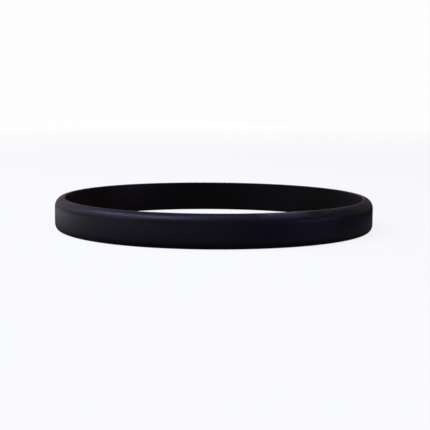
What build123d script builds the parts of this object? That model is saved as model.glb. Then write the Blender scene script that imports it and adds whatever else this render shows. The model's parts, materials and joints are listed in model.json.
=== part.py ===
from build123d import *
import math
import os

# Thin silicone wristband, relaxed and lying flat on its lower edge.
# One closed ring of solid moulded silicone: no clasp, no seam, no core and no lining.
# Its upper outer shoulder is broadly rounded, and its lower one is tighter.
# Millimetres, +Z up. The origin is the centre of the ring, on the surface that it lies on.

# Sizes of the ring
LOOP_LENGTH = 202.0  # once round the band, along the middle of its wall
BAND_WIDTH = 6.4  # from the lower edge to the upper edge
WALL = 2.0  # from the skin side to the outer side

# Sizes of the edges
UPPER_LAND = 0.25  # width of the flat strip along the upper edge
LOWER_LAND = 1.0  # width of the flat strip along the lower edge, on which the band lies
UPPER_SHOULDER_HEIGHT = 1.9  # how far down the band's width the upper shoulder reaches
LOWER_SHOULDER_HEIGHT = 1.25  # how far up the band's width the lower shoulder reaches
SKIN_EDGE_RADIUS = 0.15  # rounding between the skin side and each land

# Radii and heights that follow from the sizes
middle_radius = LOOP_LENGTH / (2 * math.pi)
skin_radius = middle_radius - WALL / 2
outer_radius = middle_radius + WALL / 2
land_inner_radius = skin_radius + SKIN_EDGE_RADIUS
upper_land_outer_radius = land_inner_radius + UPPER_LAND
lower_land_outer_radius = land_inner_radius + LOWER_LAND
upper_shoulder_foot = BAND_WIDTH - UPPER_SHOULDER_HEIGHT
upper_skin_edge = BAND_WIDTH - SKIN_EDGE_RADIUS


def band_section():
    """Cut through one side of the ring, in the plane of X and Z, with the skin side nearer the axis."""
    with BuildSketch(Plane.XZ) as section:
        with BuildLine():
            # Skin side, straight up, then the small rounding onto the upper land
            Line((skin_radius, SKIN_EDGE_RADIUS), (skin_radius, upper_skin_edge))
            CenterArc((land_inner_radius, upper_skin_edge), SKIN_EDGE_RADIUS, 90, 90)
            Line((land_inner_radius, BAND_WIDTH), (upper_land_outer_radius, BAND_WIDTH))
            # Upper shoulder, a quarter of an ellipse down to the flat outer side
            EllipticalCenterArc(
                (upper_land_outer_radius, upper_shoulder_foot),
                outer_radius - upper_land_outer_radius,
                UPPER_SHOULDER_HEIGHT,
                0,
            )
            Line((outer_radius, upper_shoulder_foot), (outer_radius, LOWER_SHOULDER_HEIGHT))
            # Lower shoulder, lower land and the small rounding back to the skin side
            EllipticalCenterArc(
                (lower_land_outer_radius, LOWER_SHOULDER_HEIGHT),
                outer_radius - lower_land_outer_radius,
                LOWER_SHOULDER_HEIGHT,
                270,
            )
            Line((lower_land_outer_radius, 0), (land_inner_radius, 0))
            CenterArc((land_inner_radius, SKIN_EDGE_RADIUS), SKIN_EDGE_RADIUS, 180, 90)
        make_face()
    return section.sketch


def band():
    """The wristband: the section taken once round the upright axis."""
    return revolve(band_section(), axis=Axis.Z).solid()


os.makedirs("parts", exist_ok=True)
export_step(band(), "parts/band.step")
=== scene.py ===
import json
import math

import bpy
from mathutils import Matrix, Vector


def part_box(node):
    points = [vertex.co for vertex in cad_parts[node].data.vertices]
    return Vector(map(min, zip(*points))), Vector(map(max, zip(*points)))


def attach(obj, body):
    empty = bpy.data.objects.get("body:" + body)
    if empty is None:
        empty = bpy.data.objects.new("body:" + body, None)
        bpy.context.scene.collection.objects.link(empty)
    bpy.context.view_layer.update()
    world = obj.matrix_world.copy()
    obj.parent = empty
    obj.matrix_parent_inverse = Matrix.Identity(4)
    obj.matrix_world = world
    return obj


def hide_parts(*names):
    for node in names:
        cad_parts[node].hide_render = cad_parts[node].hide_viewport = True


# Thin silicone wristband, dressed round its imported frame.
# Metres throughout, in the frame's own axes: the band lies on z = 0 and +Z is up.

bl_info = {
    "name": "Silicone Wristband",
    "version": (1, 0, 0),
    "blender": (4, 5, 0),
    "location": "View3D > Sidebar > Wristband",
    "description": "Moulds a thin silicone wristband and sets it on a plain pale floor",
    "category": "Add Mesh",
}

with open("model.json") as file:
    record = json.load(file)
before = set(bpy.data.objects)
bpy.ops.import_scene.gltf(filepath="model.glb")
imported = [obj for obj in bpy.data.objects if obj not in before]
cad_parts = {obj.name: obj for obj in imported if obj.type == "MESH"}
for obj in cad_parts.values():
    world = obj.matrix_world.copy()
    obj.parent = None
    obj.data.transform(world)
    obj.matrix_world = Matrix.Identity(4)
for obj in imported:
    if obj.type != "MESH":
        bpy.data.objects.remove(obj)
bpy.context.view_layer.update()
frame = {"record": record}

MM = 0.001
PHOTO_SIDE = 430  # pixels, the width and height of the photograph

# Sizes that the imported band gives
BAND_LOW, BAND_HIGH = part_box("band")
BAND_WIDTH = BAND_HIGH.z - BAND_LOW.z
OUTER_RADIUS = (BAND_HIGH.x - BAND_LOW.x) / 2
WRIST_BORE = next(m for m in frame["record"]["mounts"] if m["name"] == "wrist_bore")
SKIN_RADIUS = WRIST_BORE["dims"]["r_mm"] * MM

# Where the photograph was taken from
CAMERA_ELEVATION = math.radians(6.92)
CAMERA_ROLL = math.radians(0.417)
CAMERA_DISTANCE = 221.9 * MM
CAMERA_FOCAL_PIXELS = 1056.7  # focal length in the photograph's pixels
CAMERA_TARGET = Vector((0.36 * MM, 0, 2.37 * MM))
CAMERA_CLIP_START = 10 * MM
SENSOR_WIDTH = 36  # millimetres


def linear_colour(code):
    """Linear red, green and blue of an sRGB hex colour."""
    parts = [int(code[i:i + 2], 16) / 255 for i in (1, 3, 5)]
    return tuple(c / 12.92 if c <= 0.04045 else ((c + 0.055) / 1.055) ** 2.4 for c in parts)


def add_node(tree, kind, inputs=None, **settings):
    """Adds a node. inputs maps a socket's name or number to its value, or to the output that feeds it."""
    node = tree.nodes.new(kind)
    for name, value in settings.items():
        setattr(node, name, value)
    for name, value in (inputs or {}).items():
        if isinstance(value, bpy.types.NodeSocket):
            tree.links.new(value, node.inputs[name])
        else:
            node.inputs[name].default_value = value
    return node


def bare_material(name):
    """New material with no nodes yet."""
    material = bpy.data.materials.new(name)
    material.use_nodes = True
    material.node_tree.nodes.clear()
    return material


class BandSizes(bpy.types.PropertyGroup):
    """Sizes of the moulded band"""

    middle_radius: bpy.props.FloatProperty(
        name="Middle Radius",
        description="From the ring's axis to the middle of the wall",
        default=(OUTER_RADIUS + SKIN_RADIUS) / 2,
        subtype="DISTANCE",
        precision=5,
    )
    band_width: bpy.props.FloatProperty(
        name="Band Width",
        description="From the lower edge to the upper edge",
        default=BAND_WIDTH,
        subtype="DISTANCE",
        precision=5,
    )
    wall: bpy.props.FloatProperty(
        name="Wall",
        description="Thickness from the skin side to the outer side",
        default=OUTER_RADIUS - SKIN_RADIUS,
        subtype="DISTANCE",
        precision=5,
    )
    upper_land: bpy.props.FloatProperty(
        name="Upper Land",
        description="Width of the flat strip along the upper edge",
        default=0.25 * MM,
        subtype="DISTANCE",
        precision=5,
    )
    lower_land: bpy.props.FloatProperty(
        name="Lower Land",
        description="Width of the flat strip that the band lies on",
        default=1.0 * MM,
        subtype="DISTANCE",
        precision=5,
    )
    skin_edge_radius: bpy.props.FloatProperty(
        name="Skin Edge Radius",
        description="Rounding between the skin side and each land",
        default=0.15 * MM,
        subtype="DISTANCE",
        precision=5,
    )
    upper_shoulder_height: bpy.props.FloatProperty(
        name="Upper Shoulder Height",
        description="How far down the width the rounded upper shoulder reaches",
        default=1.9 * MM,
        subtype="DISTANCE",
        precision=5,
    )
    lower_shoulder_height: bpy.props.FloatProperty(
        name="Lower Shoulder Height",
        description="How far up the width the tighter lower shoulder reaches",
        default=1.25 * MM,
        subtype="DISTANCE",
        precision=5,
    )
    mould_line_height: bpy.props.FloatProperty(
        name="Mould Line Height",
        description="How far the trimmed flash stands above the upper skin edge",
        default=0.03 * MM,
        subtype="DISTANCE",
        precision=5,
    )
    mould_line_width: bpy.props.FloatProperty(
        name="Mould Line Width",
        description="Width of the trimmed flash at its foot",
        default=0.26 * MM,
        subtype="DISTANCE",
        precision=5,
    )
    three_lobe_bow: bpy.props.FloatProperty(
        name="Three Lobe Bow",
        description="How far the soft ring bows out of round in three lobes",
        default=0.12 * MM,
        subtype="DISTANCE",
        precision=5,
    )
    four_lobe_bow: bpy.props.FloatProperty(
        name="Four Lobe Bow",
        description="How far the soft ring bows out of round in four lobes",
        default=0.16 * MM,
        subtype="DISTANCE",
        precision=5,
    )
    scuff_length: bpy.props.FloatProperty(
        name="Scuff Length",
        description="Length of the worn and dusty patch on the upper shoulder",
        default=12.0 * MM,
        subtype="DISTANCE",
        precision=5,
    )
    scuff_reach: bpy.props.FloatProperty(
        name="Scuff Reach",
        description="How far the worn patch reaches from the upper skin edge",
        default=2.2 * MM,
        subtype="DISTANCE",
        precision=5,
    )
    nicked_length: bpy.props.FloatProperty(
        name="Nicked Length",
        description="Length of the stretch of upper edge that has dusty nicks",
        default=36.0 * MM,
        subtype="DISTANCE",
        precision=5,
    )
    steps_round: bpy.props.IntProperty(
        name="Steps Round",
        description="Faces once round the loop",
        default=960,
        min=64,
    )


class BandFinish(bpy.types.PropertyGroup):
    """Finish of the moulded silicone"""

    pigment: bpy.props.FloatVectorProperty(
        name="Pigment",
        description="Colour of the silicone all through",
        default=linear_colour("#0D0D0F"),
        subtype="COLOR",
        min=0,
        max=1,
    )
    # The same pale colour is painted along the trimmed flash as a highlight
    dust_and_highlight: bpy.props.FloatVectorProperty(
        name="Dust",
        description="Colour of the fine dust that the silicone picks up",
        default=linear_colour("#8E8C95"),
        subtype="COLOR",
        min=0,
        max=1,
    )
    roughness: bpy.props.FloatProperty(
        name="Roughness",
        description="How far the matt mould face spreads its gloss",
        default=0.40,
        subtype="FACTOR",
        min=0,
        max=1,
    )


class StageLook(bpy.types.PropertyGroup):
    """Floor and light"""

    floor: bpy.props.FloatVectorProperty(
        name="Floor",
        description="Colour of the table's opal sheet under the lamps",
        default=linear_colour("#707070"),
        subtype="COLOR",
        min=0,
        max=1,
    )
    glow: bpy.props.FloatProperty(
        name="Glow",
        description="Light that the table's sheet lets through from beneath, round the band",
        default=0.85,
        subtype="FACTOR",
        min=0,
        max=1,
    )
    rim_glow: bpy.props.FloatProperty(
        name="Rim Glow",
        description="The same at the table's rim, where the lamps give less",
        default=0.95,
        subtype="FACTOR",
        min=0,
        max=1,
    )
    inner_panel: bpy.props.FloatVectorProperty(
        name="Inner Panel",
        description="Light that the band gets from the table inside its ring",
        default=linear_colour("#4E3E18"),
        subtype="COLOR",
        min=0,
        max=1,
    )
    near_panel: bpy.props.FloatVectorProperty(
        name="Near Panel",
        description="Light that the band gets from the table close round it",
        default=linear_colour("#766E6E"),
        subtype="COLOR",
        min=0,
        max=1,
    )
    left_panel: bpy.props.FloatVectorProperty(
        name="Left Panel",
        description="Colour of the table's light farther out, to the left and in front",
        default=linear_colour("#C8C4D4"),
        subtype="COLOR",
        min=0,
        max=1,
    )
    right_panel: bpy.props.FloatVectorProperty(
        name="Right Panel",
        description="Colour of the table's light farther out, towards the blue azimuth on the right",
        default=linear_colour("#5A68FF"),
        subtype="COLOR",
        min=0,
        max=1,
    )
    panel_glow: bpy.props.FloatProperty(
        name="Panel Glow",
        description="Strength of the table's light farther out, where it is brightest",
        default=1.18,
        subtype="FACTOR",
        min=0,
        max=4,
    )
    brightness: bpy.props.FloatProperty(
        name="Brightness",
        description="Strength of all the lamps together",
        default=1.0,
        subtype="FACTOR",
        min=0,
        max=4,
    )


# Sockets of the band's nodes, each with the size that it takes
SECTION_SOCKETS = {
    "Middle Radius": "middle_radius",
    "Band Width": "band_width",
    "Wall": "wall",
    "Upper Land": "upper_land",
    "Lower Land": "lower_land",
    "Skin Edge Radius": "skin_edge_radius",
    "Upper Shoulder Height": "upper_shoulder_height",
    "Lower Shoulder Height": "lower_shoulder_height",
}
SIZE_SOCKETS = {
    **SECTION_SOCKETS,
    "Mould Line Height": "mould_line_height",
    "Mould Line Width": "mould_line_width",
    "Three Lobe Bow": "three_lobe_bow",
    "Four Lobe Bow": "four_lobe_bow",
    "Scuff Length": "scuff_length",
    "Scuff Reach": "scuff_reach",
    "Nicked Length": "nicked_length",
}

SECTION_CORNERS = 4
ARC_STEPS = 10  # along each of the section's rounded corners
STRAIGHT_STEPS = 6  # along each of its straight sides
SEAM_TOLERANCE = 0.001 * MM
THREE_LOBE_PHASE = math.radians(332.8)  # of each bow's wave round the loop
FOUR_LOBE_PHASE = math.radians(170.2)
NOISE_SEED = 4.0
NOISE_LOW = 0.3  # a noise texture's values lie mostly between these two
NOISE_HIGH = 0.7
UNEVEN_LENGTH = 7 * MM  # of the trimmed flash, from thick to thin
THINNEST_FLASH = 0.35  # as a share of its full height
NICK_LENGTH = 1.1 * MM
NICK_EDGE = 0.62  # values of its noise at a nick's edge and bottom
NICK_BOTTOM = 0.68
NICKED_FLASH = 0.1  # what a nick leaves of the flash's height
# A pale line painted along the trimmed flash as a highlight, brightest in three stretches round the loop
HIGHLIGHT_STRETCHES = 3
HIGHLIGHT_PHASE = math.radians(-675)  # brightest at 105, 225 and 345 degrees round the loop
FAINTEST_HIGHLIGHT = 0.3  # as a share of its brightest
SCUFF_PLACE = math.radians(294)  # round the loop, anticlockwise from +X
NICKED_PLACE = math.radians(315)


def section_corner_group():
    """Node group for a point on one of the section's rounded corners, as radius, nothing and height.

    Corner 0 is the upper shoulder, 1 the upper skin edge, 2 the lower skin edge and 3 the lower shoulder.
    Turn is the direction from the corner's centre, anticlockwise from outward.
    """
    tree = bpy.data.node_groups.new("Section corner", "GeometryNodeTree")
    for name in ("Corner", "Turn", *SECTION_SOCKETS):
        tree.interface.new_socket(name, in_out="INPUT", socket_type="NodeSocketFloat")
    tree.interface.new_socket("Point", in_out="OUTPUT", socket_type="NodeSocketVector")
    given = add_node(tree, "NodeGroupInput").outputs

    # The shoulders are corners 0 and 3, and the upper corners are 0 and 1
    within_three = add_node(tree, "ShaderNodeMath", {0: given["Corner"], 1: 3.0}, operation="MODULO")
    outer = add_node(tree, "ShaderNodeMath", {0: within_three.outputs[0], 1: 0.5}, operation="LESS_THAN")
    upper = add_node(tree, "ShaderNodeMath", {0: given["Corner"], 1: 1.5}, operation="LESS_THAN")

    # Radii of the wall's faces and of the land's two edges
    skin = add_node(tree, "ShaderNodeMath", {0: given["Wall"], 1: -0.5, 2: given["Middle Radius"]},
                    operation="MULTIPLY_ADD")
    outside = add_node(tree, "ShaderNodeMath", {0: given["Wall"], 1: 0.5, 2: given["Middle Radius"]},
                       operation="MULTIPLY_ADD")
    land_inside = add_node(tree, "ShaderNodeMath", {0: skin.outputs[0], 1: given["Skin Edge Radius"]})
    land = add_node(tree, "ShaderNodeMix",
                    {0: upper.outputs[0], 2: given["Lower Land"], 3: given["Upper Land"]})
    land_outside = add_node(tree, "ShaderNodeMath", {0: land_inside.outputs[0], 1: land.outputs[0]})
    reach = add_node(tree, "ShaderNodeMath", {0: outside.outputs[0], 1: land_outside.outputs[0]},
                     operation="SUBTRACT")

    # Half axes and centre of this corner's arc
    across = add_node(tree, "ShaderNodeMix",
                      {0: outer.outputs[0], 2: given["Skin Edge Radius"], 3: reach.outputs[0]})
    shoulder = add_node(tree, "ShaderNodeMix", {0: upper.outputs[0], 2: given["Lower Shoulder Height"],
                                                3: given["Upper Shoulder Height"]})
    along = add_node(tree, "ShaderNodeMix",
                     {0: outer.outputs[0], 2: given["Skin Edge Radius"], 3: shoulder.outputs[0]})
    centre_radius = add_node(tree, "ShaderNodeMix",
                             {0: outer.outputs[0], 2: land_inside.outputs[0], 3: land_outside.outputs[0]})
    below_top = add_node(tree, "ShaderNodeMath", {0: given["Band Width"], 1: along.outputs[0]},
                         operation="SUBTRACT")
    centre_height = add_node(tree, "ShaderNodeMix",
                             {0: upper.outputs[0], 2: along.outputs[0], 3: below_top.outputs[0]})

    # The point on the arc
    cosine = add_node(tree, "ShaderNodeMath", {0: given["Turn"]}, operation="COSINE")
    sine = add_node(tree, "ShaderNodeMath", {0: given["Turn"]}, operation="SINE")
    radius = add_node(tree, "ShaderNodeMath",
                      {0: cosine.outputs[0], 1: across.outputs[0], 2: centre_radius.outputs[0]},
                      operation="MULTIPLY_ADD")
    height = add_node(tree, "ShaderNodeMath",
                      {0: sine.outputs[0], 1: along.outputs[0], 2: centre_height.outputs[0]},
                      operation="MULTIPLY_ADD")
    point = add_node(tree, "ShaderNodeCombineXYZ", {"X": radius.outputs[0], "Z": height.outputs[0]})
    add_node(tree, "NodeGroupOutput", {"Point": point.outputs[0]})
    return tree


def moulded_band_tree(corner_group):
    """Node tree that sweeps the band's section round its loop.

    A grid of unit squares is bent into the ring: its columns go round the loop and its rows round the
    section, arc by arc and straight by straight. Its two seams are then merged.
    """
    tree = bpy.data.node_groups.new("Moulded band", "GeometryNodeTree")
    for name in SIZE_SOCKETS:
        tree.interface.new_socket(name, in_out="INPUT", socket_type="NodeSocketFloat")
    for name in ("Steps Round", "Arc Steps", "Straight Steps"):
        tree.interface.new_socket(name, in_out="INPUT", socket_type="NodeSocketInt")
    tree.interface.new_socket("Seed", in_out="INPUT", socket_type="NodeSocketFloat")
    tree.interface.new_socket("Material", in_out="INPUT", socket_type="NodeSocketMaterial")
    tree.interface.new_socket("Mesh", in_out="OUTPUT", socket_type="NodeSocketGeometry")
    given = add_node(tree, "NodeGroupInput").outputs

    # The grid, one unit a step
    corner_steps = add_node(tree, "ShaderNodeMath", {0: given["Arc Steps"], 1: given["Straight Steps"]})
    section_steps = add_node(tree, "ShaderNodeMath", {0: corner_steps.outputs[0], 1: SECTION_CORNERS},
                             operation="MULTIPLY")
    columns = add_node(tree, "ShaderNodeMath", {0: given["Steps Round"], 1: 1.0})
    rows = add_node(tree, "ShaderNodeMath", {0: section_steps.outputs[0], 1: 1.0})
    grid = add_node(tree, "GeometryNodeMeshGrid", {
        "Size X": given["Steps Round"],
        "Size Y": section_steps.outputs[0],
        "Vertices X": columns.outputs[0],
        "Vertices Y": rows.outputs[0],
    })
    mapped = add_node(tree, "GeometryNodeStoreNamedAttribute",
                      {"Geometry": grid.outputs["Mesh"], "Name": "UVMap", "Value": grid.outputs["UV Map"]},
                      data_type="FLOAT2", domain="CORNER")

    # Each point's step round the loop and round the section
    position = add_node(tree, "GeometryNodeInputPosition")
    place = add_node(tree, "ShaderNodeSeparateXYZ", {0: position.outputs[0]})
    from_left = add_node(tree, "ShaderNodeMath", {0: given["Steps Round"], 1: 0.5, 2: place.outputs["X"]},
                         operation="MULTIPLY_ADD")
    from_foot = add_node(tree, "ShaderNodeMath", {0: section_steps.outputs[0], 1: 0.5, 2: place.outputs["Y"]},
                         operation="MULTIPLY_ADD")
    column = add_node(tree, "ShaderNodeMath", {0: from_left.outputs[0]}, operation="ROUND")
    row = add_node(tree, "ShaderNodeMath", {0: from_foot.outputs[0]}, operation="ROUND")
    loop_share = add_node(tree, "ShaderNodeMath", {0: column.outputs[0], 1: given["Steps Round"]},
                          operation="DIVIDE")
    angle = add_node(tree, "ShaderNodeMath", {0: loop_share.outputs[0], 1: math.tau}, operation="MULTIPLY")

    # Which corner the point belongs to, and how far along its arc or the straight after it
    corners_passed = add_node(tree, "ShaderNodeMath", {0: row.outputs[0], 1: corner_steps.outputs[0]},
                              operation="DIVIDE")
    corner = add_node(tree, "ShaderNodeMath", {0: corners_passed.outputs[0]}, operation="FLOOR")
    within = add_node(tree, "ShaderNodeMath", {0: row.outputs[0], 1: corner_steps.outputs[0]},
                      operation="MODULO")
    arc_steps_passed = add_node(tree, "ShaderNodeMath", {0: within.outputs[0], 1: given["Arc Steps"]},
                                operation="DIVIDE")
    arc_share = add_node(tree, "ShaderNodeMath", {0: arc_steps_passed.outputs[0], 1: 1.0},
                         operation="MINIMUM")
    past_arc = add_node(tree, "ShaderNodeMath", {0: within.outputs[0], 1: given["Arc Steps"]},
                        operation="SUBTRACT")
    straight_passed = add_node(tree, "ShaderNodeMath", {0: past_arc.outputs[0], 1: given["Straight Steps"]},
                               operation="DIVIDE")
    straight_share = add_node(tree, "ShaderNodeMath", {0: straight_passed.outputs[0], 1: 0.0},
                              operation="MAXIMUM")

    # The two arc points that it lies between: its own, and the start of the next corner's arc
    reached = add_node(tree, "ShaderNodeMath", {0: corner.outputs[0], 1: arc_share.outputs[0]})
    next_corner = add_node(tree, "ShaderNodeMath", {0: corner.outputs[0], 1: 1.0})
    sizes = {name: given[name] for name in SECTION_SOCKETS}
    ends = []
    for which, quarters in ((corner, reached), (next_corner, next_corner)):
        wrapped = add_node(tree, "ShaderNodeMath", {0: which.outputs[0], 1: SECTION_CORNERS},
                           operation="MODULO")
        turn = add_node(tree, "ShaderNodeMath", {0: quarters.outputs[0], 1: math.pi / 2},
                        operation="MULTIPLY")
        ends.append(add_node(tree, "GeometryNodeGroup",
                             {**sizes, "Corner": wrapped.outputs[0], "Turn": turn.outputs[0]},
                             node_tree=corner_group))
    section_point = add_node(tree, "ShaderNodeMix",
                             {0: straight_share.outputs[0], 4: ends[0].outputs[0], 5: ends[1].outputs[0]},
                             data_type="VECTOR")
    section = add_node(tree, "ShaderNodeSeparateXYZ", {0: section_point.outputs[1]})

    # The soft ring is a little out of round, in three lobes and in four
    bows = []
    for name, lobes, phase in (("Three Lobe Bow", 3, THREE_LOBE_PHASE),
                               ("Four Lobe Bow", 4, FOUR_LOBE_PHASE)):
        turn = add_node(tree, "ShaderNodeMath", {0: angle.outputs[0], 1: lobes, 2: phase},
                        operation="MULTIPLY_ADD")
        wave = add_node(tree, "ShaderNodeMath", {0: turn.outputs[0]}, operation="COSINE")
        bows.append(add_node(tree, "ShaderNodeMath", {0: wave.outputs[0], 1: given[name]},
                             operation="MULTIPLY"))
    bow = add_node(tree, "ShaderNodeMath", {0: bows[0].outputs[0], 1: bows[1].outputs[0]})
    radius = add_node(tree, "ShaderNodeMath", {0: section.outputs["X"], 1: bow.outputs[0]})

    # The trimmed flash of the mould: a low ridge along the upper skin edge, uneven and nicked
    skin = add_node(tree, "ShaderNodeMath", {0: given["Wall"], 1: -0.5, 2: given["Middle Radius"]},
                    operation="MULTIPLY_ADD")
    line_radius = add_node(tree, "ShaderNodeMath",
                           {0: given["Skin Edge Radius"], 1: 0.5, 2: skin.outputs[0]},
                           operation="MULTIPLY_ADD")
    line_middle = add_node(tree, "ShaderNodeCombineXYZ",
                           {"X": line_radius.outputs[0], "Z": given["Band Width"]})
    from_line = add_node(tree, "ShaderNodeVectorMath",
                         {0: section_point.outputs[1], 1: line_middle.outputs[0]}, operation="DISTANCE")
    half_line = add_node(tree, "ShaderNodeMath", {0: given["Mould Line Width"], 1: 0.5}, operation="MULTIPLY")
    ridge = add_node(tree, "ShaderNodeMapRange",
                     {"Value": from_line.outputs["Value"], "From Max": half_line.outputs[0],
                      "To Min": 1.0, "To Max": 0.0}, interpolation_type="SMOOTHSTEP")
    cosine = add_node(tree, "ShaderNodeMath", {0: angle.outputs[0]}, operation="COSINE")
    sine = add_node(tree, "ShaderNodeMath", {0: angle.outputs[0]}, operation="SINE")
    round_loop = add_node(tree, "ShaderNodeCombineXYZ", {"X": cosine.outputs[0], "Y": sine.outputs[0]})
    on_loop = add_node(tree, "ShaderNodeVectorMath",
                       {0: round_loop.outputs[0], "Scale": given["Middle Radius"]}, operation="SCALE")
    uneven = add_node(tree, "ShaderNodeTexNoise",
                      {"Vector": on_loop.outputs[0], "W": given["Seed"], "Scale": 1 / UNEVEN_LENGTH,
                       "Detail": 2.0}, noise_dimensions="4D")
    thickness = add_node(tree, "ShaderNodeMapRange",
                         {"Value": uneven.outputs[0], "From Min": NOISE_LOW, "From Max": NOISE_HIGH,
                          "To Min": THINNEST_FLASH})
    chipped = add_node(tree, "ShaderNodeTexNoise",
                       {"Vector": on_loop.outputs[0], "W": given["Seed"], "Scale": 1 / NICK_LENGTH,
                        "Detail": 1.0}, noise_dimensions="4D")
    whole = add_node(tree, "ShaderNodeMapRange",
                     {"Value": chipped.outputs[0], "From Min": NICK_EDGE, "From Max": NICK_BOTTOM,
                      "To Min": 1.0, "To Max": NICKED_FLASH})
    kept = add_node(tree, "ShaderNodeMath", {0: thickness.outputs[0], 1: whole.outputs[0]},
                    operation="MULTIPLY")
    line_share = add_node(tree, "ShaderNodeMath", {0: ridge.outputs[0], 1: kept.outputs[0]},
                          operation="MULTIPLY")
    height = add_node(tree, "ShaderNodeMath",
                      {0: line_share.outputs[0], 1: given["Mould Line Height"], 2: section.outputs["Z"]},
                      operation="MULTIPLY_ADD")

    # Dusty scuff and nicked stretch of the edge; a painted highlight along the flash, in three stretches
    highlight_turn = add_node(tree, "ShaderNodeMath", {0: angle.outputs[0], 1: HIGHLIGHT_STRETCHES, 2: HIGHLIGHT_PHASE},
                         operation="MULTIPLY_ADD")
    highlight_wave = add_node(tree, "ShaderNodeMath", {0: highlight_turn.outputs[0]}, operation="COSINE")
    highlight_share = add_node(tree, "ShaderNodeMapRange",
                          {"Value": highlight_wave.outputs[0], "From Min": -1.0, "To Min": FAINTEST_HIGHLIGHT})
    painted_edge_highlight = add_node(tree, "ShaderNodeMath", {0: line_share.outputs[0], 1: highlight_share.outputs[0]},
                    operation="MULTIPLY")
    outward = add_node(tree, "ShaderNodeMath", {0: section.outputs["X"], 1: line_radius.outputs[0]},
                       operation="GREATER_THAN")
    stretches = []
    for place_round, length in ((SCUFF_PLACE, "Scuff Length"), (NICKED_PLACE, "Nicked Length")):
        off = add_node(tree, "ShaderNodeMath", {0: angle.outputs[0], 1: place_round}, operation="SUBTRACT")
        nearness = add_node(tree, "ShaderNodeMath", {0: off.outputs[0]}, operation="COSINE")
        half = add_node(tree, "ShaderNodeMath", {0: given[length], 1: 0.5}, operation="MULTIPLY")
        half_turn = add_node(tree, "ShaderNodeMath", {0: half.outputs[0], 1: given["Middle Radius"]},
                             operation="DIVIDE")
        end = add_node(tree, "ShaderNodeMath", {0: half_turn.outputs[0]}, operation="COSINE")
        stretches.append(add_node(tree, "ShaderNodeMapRange",
                                  {"Value": nearness.outputs[0], "From Min": end.outputs[0]},
                                  interpolation_type="SMOOTHSTEP"))
    across = add_node(tree, "ShaderNodeMapRange",
                      {"Value": from_line.outputs["Value"], "From Max": given["Scuff Reach"],
                       "To Min": 1.0, "To Max": 0.0}, interpolation_type="SMOOTHSTEP")
    worn = add_node(tree, "ShaderNodeMath", {0: across.outputs[0], 1: outward.outputs[0]},
                    operation="MULTIPLY")
    scuff = add_node(tree, "ShaderNodeMath", {0: worn.outputs[0], 1: stretches[0].outputs[0]},
                     operation="MULTIPLY")
    nicked = add_node(tree, "ShaderNodeMath", {0: worn.outputs[0], 1: stretches[1].outputs[0]},
                      operation="MULTIPLY")

    # The bent grid
    flat_place = add_node(tree, "ShaderNodeVectorMath",
                          {0: round_loop.outputs[0], "Scale": radius.outputs[0]}, operation="SCALE")
    lift = add_node(tree, "ShaderNodeCombineXYZ", {"Z": height.outputs[0]})
    new_place = add_node(tree, "ShaderNodeVectorMath", {0: flat_place.outputs[0], 1: lift.outputs[0]})
    marked = mapped
    # The first share is the painted highlight along the flash; the scuff and nicked shares are dusty places
    for name, share in (("painted_edge_highlight", painted_edge_highlight), ("scuff", scuff), ("nicked", nicked)):
        marked = add_node(tree, "GeometryNodeStoreNamedAttribute",
                          {"Geometry": marked.outputs[0], "Name": name, "Value": share.outputs[0]},
                          data_type="FLOAT", domain="POINT")
    bent = add_node(tree, "GeometryNodeSetPosition",
                    {"Geometry": marked.outputs[0], "Position": new_place.outputs[0]})
    closed = add_node(tree, "GeometryNodeMergeByDistance",
                      {"Geometry": bent.outputs[0], "Distance": SEAM_TOLERANCE})
    smooth = add_node(tree, "GeometryNodeSetShadeSmooth", {"Geometry": closed.outputs[0]})
    real = add_node(tree, "GeometryNodeRealizeInstances", {"Geometry": smooth.outputs[0]})
    coloured = add_node(tree, "GeometryNodeSetMaterial",
                        {"Geometry": real.outputs[0], "Material": given["Material"]})
    add_node(tree, "NodeGroupOutput", {"Mesh": coloured.outputs[0]})
    return tree


# Silicone rubber pressed in a sandblasted steel mould
GRAIN_SIZE = 0.22 * MM  # the blasted grain is nearer 0.05 mm, and drawn this coarse so that it shows
GRAIN_DEPTH = 0.001 * MM
PATCH_SIZE = 9 * MM
TONE_SPREAD = 0.15  # of the pigment from patch to patch, as a share of its colour to each side
ROUGHNESS_SPREAD = 0.04
SILICONE_IOR = 1.41
GLOSS_TINT = "#D8D4FF"
SHEEN = 0.02
SPECK_SPACING = 0.8 * MM
SPECK_SIZE = 0.18 * MM
SPECK_CHANCE = 0.9
STREAK_SIZE = 0.5 * MM
STREAK_LOW = 0.35  # values of the streaks' noise where the dust is faintest and fullest
STREAK_HIGH = 0.65
FAINTEST_STREAK = 0.4
HIGHLIGHT_STRENGTH = 0.7  # of the pale colour over the pigment, for the highlight painted along the flash
SCUFF_STRENGTH = 0.5
SPECK_STRENGTH = 0.9


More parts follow.
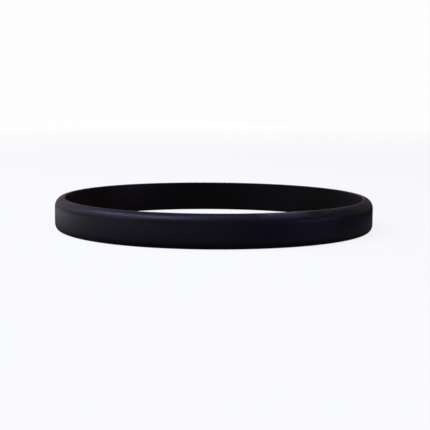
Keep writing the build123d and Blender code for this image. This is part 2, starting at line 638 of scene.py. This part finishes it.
def silicone_material(finish):
    """Moulded silicone rubber, pigmented all through.

    The blasted mould leaves a fine even grain, so the gloss is broad and soft, brightest along the rounded
    shoulders and at the ends where the wall turns away. The rubber is a little dusty, and a pale line
    painted along its upper skin edge stands for a highlight.
    """
    material = bare_material("Moulded silicone rubber")
    tree = material.node_tree
    place = add_node(tree, "ShaderNodeTexCoord").outputs["Object"]
    patches = add_node(tree, "ShaderNodeTexNoise", {"Vector": place, "Scale": 1 / PATCH_SIZE, "Detail": 3.0})
    grain = add_node(tree, "ShaderNodeTexNoise", {"Vector": place, "Scale": 1 / GRAIN_SIZE, "Detail": 2.0})

    # Dusty scuff and specks caught in the nicked edge; a painted highlight along the trimmed flash
    painted_edge_highlight = add_node(tree, "ShaderNodeAttribute", attribute_name="painted_edge_highlight")
    scuff = add_node(tree, "ShaderNodeAttribute", attribute_name="scuff")
    nicked = add_node(tree, "ShaderNodeAttribute", attribute_name="nicked")
    specks = add_node(tree, "ShaderNodeTexVoronoi", {"Vector": place, "Scale": 1 / SPECK_SPACING})
    near_speck = add_node(tree, "ShaderNodeMapRange",
                          {"Value": specks.outputs["Distance"], "From Min": SPECK_SIZE / SPECK_SPACING / 2,
                           "From Max": SPECK_SIZE / SPECK_SPACING, "To Min": 1.0, "To Max": 0.0})
    chance = add_node(tree, "ShaderNodeSeparateColor", {0: specks.outputs["Color"]})
    chosen = add_node(tree, "ShaderNodeMath", {0: chance.outputs[0], 1: SPECK_CHANCE}, operation="LESS_THAN")
    speck = add_node(tree, "ShaderNodeMath", {0: near_speck.outputs[0], 1: chosen.outputs[0]},
                     operation="MULTIPLY")
    edge_speck = add_node(tree, "ShaderNodeMath", {0: speck.outputs[0], 1: nicked.outputs["Fac"]},
                          operation="MULTIPLY")
    streaks = add_node(tree, "ShaderNodeTexNoise", {"Vector": place, "Scale": 1 / STREAK_SIZE, "Detail": 3.0})
    streaked = add_node(tree, "ShaderNodeMapRange",
                        {"Value": streaks.outputs[0], "From Min": STREAK_LOW, "From Max": STREAK_HIGH,
                         "To Min": FAINTEST_STREAK})
    worn = add_node(tree, "ShaderNodeMath", {0: scuff.outputs["Fac"], 1: streaked.outputs[0]},
                    operation="MULTIPLY")
    # A pale highlight painted along the flash, and the dusty scuff and specks, all in the same pale colour
    layers = []
    for share, strength in ((painted_edge_highlight.outputs["Fac"], HIGHLIGHT_STRENGTH), (worn.outputs[0], SCUFF_STRENGTH),
                            (edge_speck.outputs[0], SPECK_STRENGTH)):
        layers.append(add_node(tree, "ShaderNodeMath", {0: share, 1: strength}, operation="MULTIPLY"))
    two = add_node(tree, "ShaderNodeMath", {0: layers[0].outputs[0], 1: layers[1].outputs[0]},
                   operation="MAXIMUM")
    dust_and_highlight = add_node(tree, "ShaderNodeMath", {0: two.outputs[0], 1: layers[2].outputs[0]}, operation="MAXIMUM")
    dark, light = [(*[c * share for c in finish.pigment], 1) for share in (1 - TONE_SPREAD, 1 + TONE_SPREAD)]
    tone = add_node(tree, "ShaderNodeMix", {0: patches.outputs[0], 6: dark, 7: light}, data_type="RGBA")
    colour = add_node(tree, "ShaderNodeMix",
                      {0: dust_and_highlight.outputs[0], 6: tone.outputs[2], 7: (*finish.dust_and_highlight, 1)}, data_type="RGBA")
    roughness = add_node(tree, "ShaderNodeMapRange",
                         {"Value": patches.outputs[0], "From Min": NOISE_LOW, "From Max": NOISE_HIGH,
                          "To Min": finish.roughness - ROUGHNESS_SPREAD,
                          "To Max": finish.roughness + ROUGHNESS_SPREAD})
    bump = add_node(tree, "ShaderNodeBump",
                    {"Height": grain.outputs[0], "Strength": 1.0, "Distance": GRAIN_DEPTH})
    surface = add_node(tree, "ShaderNodeBsdfPrincipled", {
        "Base Color": colour.outputs[2],
        "Roughness": roughness.outputs[0],
        "IOR": SILICONE_IOR,
        "Specular Tint": (*linear_colour(GLOSS_TINT), 1),
        "Sheen Weight": SHEEN,
        "Normal": bump.outputs[0],
    })
    add_node(tree, "ShaderNodeOutputMaterial", {"Surface": surface.outputs[0]})
    return material


def freeze(context, piece):
    """Turns what the piece's nodes make into its own plain mesh."""
    depsgraph = context.evaluated_depsgraph_get()
    evaluated = piece.evaluated_get(depsgraph)
    mesh = bpy.data.meshes.new_from_object(evaluated, preserve_all_data_layers=True, depsgraph=depsgraph)
    piece.modifiers.clear()
    piece.data = mesh
    mesh.name = piece.name


class WRISTBAND_OT_mould_band(bpy.types.Operator):
    """Mould the band, with the trimmed flash along its upper skin edge"""

    bl_idname = "wristband.mould_band"
    bl_label = "Mould the Band"

    def execute(self, context):
        sizes = context.scene.wristband_sizes
        values = {name: getattr(sizes, field) for name, field in SIZE_SOCKETS.items()}
        values["Steps Round"] = sizes.steps_round
        values["Arc Steps"] = ARC_STEPS
        values["Straight Steps"] = STRAIGHT_STEPS
        values["Seed"] = NOISE_SEED
        values["Material"] = silicone_material(context.scene.wristband_finish)
        tree = moulded_band_tree(section_corner_group())
        piece = bpy.data.objects.new("moulded_band", bpy.data.meshes.new("moulded_band"))
        context.scene.collection.objects.link(piece)
        modifier = piece.modifiers.new("Moulding", "NODES")
        modifier.node_group = tree
        for item in tree.interface.items_tree:
            if item.in_out == "INPUT":
                modifier[item.identifier] = values[item.name]
        freeze(context, piece)
        if not piece.data.polygons:
            raise RuntimeError("the band's nodes made no faces")
        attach(piece, "root")
        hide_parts("band")
        return {"FINISHED"}


# The table: a disc whose rim sweeps up all round, so that no horizon shows
TABLE_RADIUS = 0.7
LIT_RADIUS = 0.15  # within which the lamps light the table evenly
SWEEP_RADIUS = 0.5
WALL_HEIGHT = 1.2
TABLE_SEGMENTS = 96
SWEEP_STEPS = 16

# The dimmed panel under the table's sheet
PANEL_DEPTH = 0.05 * MM
CONTACT_RADIUS = 0.037  # out to here from the band the panel's glow rises to its full value
CONTACT_GLOW = 0.35  # share of its full value at the band's foot
NEAR_PANEL_RADIUS = 0.042  # the near colour ends here, and the far one starts at the next
FAR_PANEL_RADIUS = 0.052
NEAR_TURNING = 0.4  # how far the near ring's glow changes with azimuth, where the far ring's does so fully
PANEL_AZIMUTH = 294  # degrees, as for the softboxes, where the far ring is brightest
PANEL_CUTOFF = -0.55  # cosine of the turn from there at which its glow ends
BLUE_AZIMUTH = 66  # where the far ring is bluest
BLUE_CUTOFF = 0.5  # cosines of the turns from there at which its blue ends and is full
BLUE_FULL = 0.9

# Softboxes, each facing the band. Azimuth runs from the camera's side over the right, elevation up from the
# table, both in degrees. Width and height are in metres. Radiance is that of its white cloth.
SOFTBOX_DISTANCE = 0.60
SOFTBOXES = (
    # name, azimuth, elevation, width, height, radiance, colour
    ("left_key_softbox", 262, 46, 0.22, 0.20, 6.2, "#E2EBFF"),
    ("front_key_softbox", 308, 50, 0.22, 0.20, 3.7, "#E6ECFF"),
    ("high_front_softbox", 320, 60, 0.34, 0.22, 3.5, "#E2ECFF"),
    ("overhead_softbox", 0, 89, 0.30, 0.30, 2.0, "#AAACFF"),
    ("right_softbox", 62, 50, 0.44, 0.22, 1.3, "#98B4FF"),
    ("back_softbox", 213, 33, 0.24, 0.34, 0.4, "#CEC4FF"),
    ("back_left_softbox", 245, 22, 0.26, 0.18, 1.1, "#D8D8FF"),
    ("left_softbox", 290, 24, 0.26, 0.18, 1.25, "#E8FFD8"),
    ("low_right_strip", 70, 6, 0.34, 0.11, 1.8, "#CEC4F0"),
    ("low_back_softbox", 208, 8, 0.56, 0.12, 0.35, "#FFD8E8"),
    ("low_back_strip", 177, 8, 0.12, 0.08, 1.2, "#FFECE6"),
)
ROOM_COLOUR = "#645C56"


def direction(azimuth, elevation):
    """Unit vector from the band towards an azimuth and elevation in degrees."""
    turn = math.radians(azimuth)
    rise = math.radians(elevation)
    return Vector((math.sin(turn) * math.cos(rise), -math.cos(turn) * math.cos(rise), math.sin(rise)))


def aim(place, target, roll=0.0):
    """Matrix of a lamp or camera at place that looks at target, turned by roll about its line of sight."""
    back = (place - target).normalized()
    right = Vector((0, 0, 1)).cross(back).normalized()
    up = back.cross(right)
    side = math.cos(roll) * right + math.sin(roll) * up
    top = math.cos(roll) * up - math.sin(roll) * right
    matrix = Matrix((side, top, back)).transposed().to_4x4()
    matrix.translation = place
    return matrix


def table_material(look):
    """Opal acrylic of a light table, sanded matt.

    White light comes through it, so it looks almost white and shadows on it are faint.
    """
    material = bare_material("Opal acrylic light table")
    tree = material.node_tree
    place = add_node(tree, "ShaderNodeTexCoord").outputs["Object"]
    radius = add_node(tree, "ShaderNodeVectorMath", {0: place}, operation="LENGTH")
    glow = add_node(tree, "ShaderNodeMapRange",
                    {"Value": radius.outputs["Value"], "From Min": LIT_RADIUS, "From Max": TABLE_RADIUS,
                     "To Min": look.glow, "To Max": look.rim_glow}, interpolation_type="SMOOTHSTEP")
    surface = add_node(tree, "ShaderNodeBsdfPrincipled", {
        "Base Color": (*look.floor, 1),
        "Roughness": 1.0,
        "Specular IOR Level": 0.0,
        "Emission Color": (1, 1, 1, 1),
        "Emission Strength": glow.outputs[0],
    })
    add_node(tree, "ShaderNodeOutputMaterial", {"Surface": surface.outputs[0]})
    return material


def panel_material(look):
    """Dimmed light panel, the only thing under the band that throws light on it.

    It is dark under and close round the band. Farther out it is brightest towards PANEL_AZIMUTH and bluest
    towards BLUE_AZIMUTH.
    """
    material = bare_material("Dimmed light panel")
    tree = material.node_tree
    place = add_node(tree, "ShaderNodeTexCoord").outputs["Object"]
    radius = add_node(tree, "ShaderNodeVectorMath", {0: place}, operation="LENGTH")
    outward = add_node(tree, "ShaderNodeVectorMath", {0: place}, operation="NORMALIZE")
    facing = add_node(tree, "ShaderNodeVectorMath",
                      {0: outward.outputs[0], 1: direction(PANEL_AZIMUTH, 0)}, operation="DOT_PRODUCT")
    facing_blue = add_node(tree, "ShaderNodeVectorMath",
                           {0: outward.outputs[0], 1: direction(BLUE_AZIMUTH, 0)}, operation="DOT_PRODUCT")
    outside = add_node(tree, "ShaderNodeMapRange",
                       {"Value": radius.outputs["Value"], "From Min": SKIN_RADIUS, "From Max": OUTER_RADIUS})
    clear = add_node(tree, "ShaderNodeMapRange",
                     {"Value": radius.outputs["Value"], "From Min": OUTER_RADIUS, "From Max": CONTACT_RADIUS,
                      "To Min": CONTACT_GLOW})
    far = add_node(tree, "ShaderNodeMapRange",
                   {"Value": radius.outputs["Value"], "From Min": NEAR_PANEL_RADIUS,
                    "From Max": FAR_PANEL_RADIUS})
    strength = add_node(tree, "ShaderNodeMapRange",
                        {"Value": facing.outputs["Value"], "From Min": PANEL_CUTOFF,
                         "To Max": look.panel_glow})
    blue = add_node(tree, "ShaderNodeMapRange",
                    {"Value": facing_blue.outputs["Value"], "From Min": BLUE_CUTOFF, "From Max": BLUE_FULL})
    near_colour = add_node(tree, "ShaderNodeMix",
                           {0: outside.outputs[0], 6: (*look.inner_panel, 1), 7: (*look.near_panel, 1)},
                           data_type="RGBA")
    far_colour = add_node(tree, "ShaderNodeMix",
                          {0: blue.outputs[0], 6: (*look.left_panel, 1), 7: (*look.right_panel, 1)},
                          data_type="RGBA")
    colour = add_node(tree, "ShaderNodeMix",
                      {0: far.outputs[0], 6: near_colour.outputs[2], 7: far_colour.outputs[2]},
                      data_type="RGBA")
    turning = add_node(tree, "ShaderNodeMapRange", {"Value": far.outputs[0], "To Min": NEAR_TURNING})
    turned = add_node(tree, "ShaderNodeMix", {0: turning.outputs[0], 2: 1.0, 3: strength.outputs[0]})
    lit = add_node(tree, "ShaderNodeMath", {0: turned.outputs[0], 1: clear.outputs[0]}, operation="MULTIPLY")
    glow = add_node(tree, "ShaderNodeMix", {0: outside.outputs[0], 2: 1.0, 3: lit.outputs[0]})
    light = add_node(tree, "ShaderNodeEmission", {"Color": colour.outputs[2], "Strength": glow.outputs[0]})
    add_node(tree, "ShaderNodeOutputMaterial", {"Surface": light.outputs[0]})
    return material


def disc_mesh(name, profile):
    """Mesh of a disc and what rises from its rim. profile gives radius and height, from the rim outward."""
    points = [(0, 0, profile[0][1])]
    for radius, height in profile:
        for i in range(TABLE_SEGMENTS):
            angle = math.tau * i / TABLE_SEGMENTS
            points.append((radius * math.cos(angle), radius * math.sin(angle), height))
    faces = []
    for i in range(TABLE_SEGMENTS):
        after = (i + 1) % TABLE_SEGMENTS
        faces.append((0, 1 + i, 1 + after))
        for ring in range(len(profile) - 1):
            low = 1 + ring * TABLE_SEGMENTS
            high = low + TABLE_SEGMENTS
            faces.append((low + i, high + i, high + after, low + after))
    mesh = bpy.data.meshes.new(name)
    mesh.from_pydata(points, [], faces)
    mesh.shade_smooth()
    return mesh


def set_table(scene, look):
    """Lays the light table, which the camera sees, and the panel under it, which lights the band."""
    turns = [math.pi / 2 * i / SWEEP_STEPS for i in range(SWEEP_STEPS + 1)]
    sweep = [(TABLE_RADIUS + SWEEP_RADIUS * math.sin(t), SWEEP_RADIUS * (1 - math.cos(t))) for t in turns]
    sweep.append((TABLE_RADIUS + SWEEP_RADIUS, WALL_HEIGHT))
    table = bpy.data.objects.new("light_table", disc_mesh("light_table", sweep))
    table.data.materials.append(table_material(look))
    table.visible_diffuse = False
    table.visible_glossy = False
    table.visible_shadow = False
    panel = bpy.data.objects.new("dimmed_panel", disc_mesh("dimmed_panel", [(TABLE_RADIUS, -PANEL_DEPTH)]))
    panel.data.materials.append(panel_material(look))
    panel.visible_camera = False
    for obj in (table, panel):
        scene.collection.objects.link(obj)


def set_softboxes(scene, brightness):
    """Hangs the softboxes round the band."""
    for name, azimuth, elevation, width, height, radiance, colour in SOFTBOXES:
        lamp = bpy.data.lights.new(name, "AREA")
        lamp.shape = "RECTANGLE"
        lamp.size = width
        lamp.size_y = height
        lamp.energy = brightness * radiance * math.pi * width * height
        lamp.color = linear_colour(colour)
        softbox = bpy.data.objects.new(name, lamp)
        softbox.matrix_world = aim(SOFTBOX_DISTANCE * direction(azimuth, elevation), Vector((0, 0, 0)))
        softbox.visible_camera = False
        scene.collection.objects.link(softbox)


def set_room(scene):
    """Gives the room round the table its dim light."""
    world = bpy.data.worlds.new("Dim studio")
    world.use_nodes = True
    world.node_tree.nodes.clear()
    room = add_node(world.node_tree, "ShaderNodeBackground", {"Color": (*linear_colour(ROOM_COLOUR), 1)})
    add_node(world.node_tree, "ShaderNodeOutputWorld", {"Surface": room.outputs[0]})
    scene.world = world


def set_camera(scene):
    """Stands the camera where the photograph was taken from."""
    lens = bpy.data.cameras.new("photo_camera")
    lens.sensor_width = SENSOR_WIDTH
    lens.lens = CAMERA_FOCAL_PIXELS / PHOTO_SIDE * SENSOR_WIDTH
    lens.clip_start = CAMERA_CLIP_START
    camera = bpy.data.objects.new("photo_camera", lens)
    away = Vector((0, -math.cos(CAMERA_ELEVATION), math.sin(CAMERA_ELEVATION)))
    camera.matrix_world = aim(CAMERA_TARGET + CAMERA_DISTANCE * away, CAMERA_TARGET, CAMERA_ROLL)
    scene.collection.objects.link(camera)
    scene.camera = camera


class WRISTBAND_OT_set_stage(bpy.types.Operator):
    """Set the light table, the softboxes and the camera"""

    bl_idname = "wristband.set_stage"
    bl_label = "Set the Stage"

    def execute(self, context):
        scene = context.scene
        set_table(scene, scene.wristband_stage)
        set_softboxes(scene, scene.wristband_stage.brightness)
        set_room(scene)
        set_camera(scene)
        scene.view_settings.view_transform = "Standard"
        return {"FINISHED"}


class WRISTBAND_PT_panel(bpy.types.Panel):
    """Sizes, finish and stage of the wristband"""

    bl_idname = "WRISTBAND_PT_panel"
    bl_label = "Silicone Wristband"
    bl_space_type = "VIEW_3D"
    bl_region_type = "UI"
    bl_category = "Wristband"

    def draw(self, context):
        scene = context.scene
        for title, group, operator in (
            ("Band", scene.wristband_sizes, None),
            ("Finish", scene.wristband_finish, WRISTBAND_OT_mould_band.bl_idname),
            ("Stage", scene.wristband_stage, WRISTBAND_OT_set_stage.bl_idname),
        ):
            box = self.layout.box()
            box.label(text=title)
            for name in group.__annotations__:
                box.prop(group, name)
            if operator:
                box.operator(operator)


CLASSES = (
    BandSizes,
    BandFinish,
    StageLook,
    WRISTBAND_OT_mould_band,
    WRISTBAND_OT_set_stage,
    WRISTBAND_PT_panel,
)


def register():
    for item in CLASSES:
        bpy.utils.register_class(item)
    bpy.types.Scene.wristband_sizes = bpy.props.PointerProperty(type=BandSizes)
    bpy.types.Scene.wristband_finish = bpy.props.PointerProperty(type=BandFinish)
    bpy.types.Scene.wristband_stage = bpy.props.PointerProperty(type=StageLook)


def unregister():
    del bpy.types.Scene.wristband_stage
    del bpy.types.Scene.wristband_finish
    del bpy.types.Scene.wristband_sizes
    for item in reversed(CLASSES):
        bpy.utils.unregister_class(item)


def main():
    register()
    bpy.ops.wristband.mould_band()
    bpy.ops.wristband.set_stage()


if __name__ == "__main__":
    main()
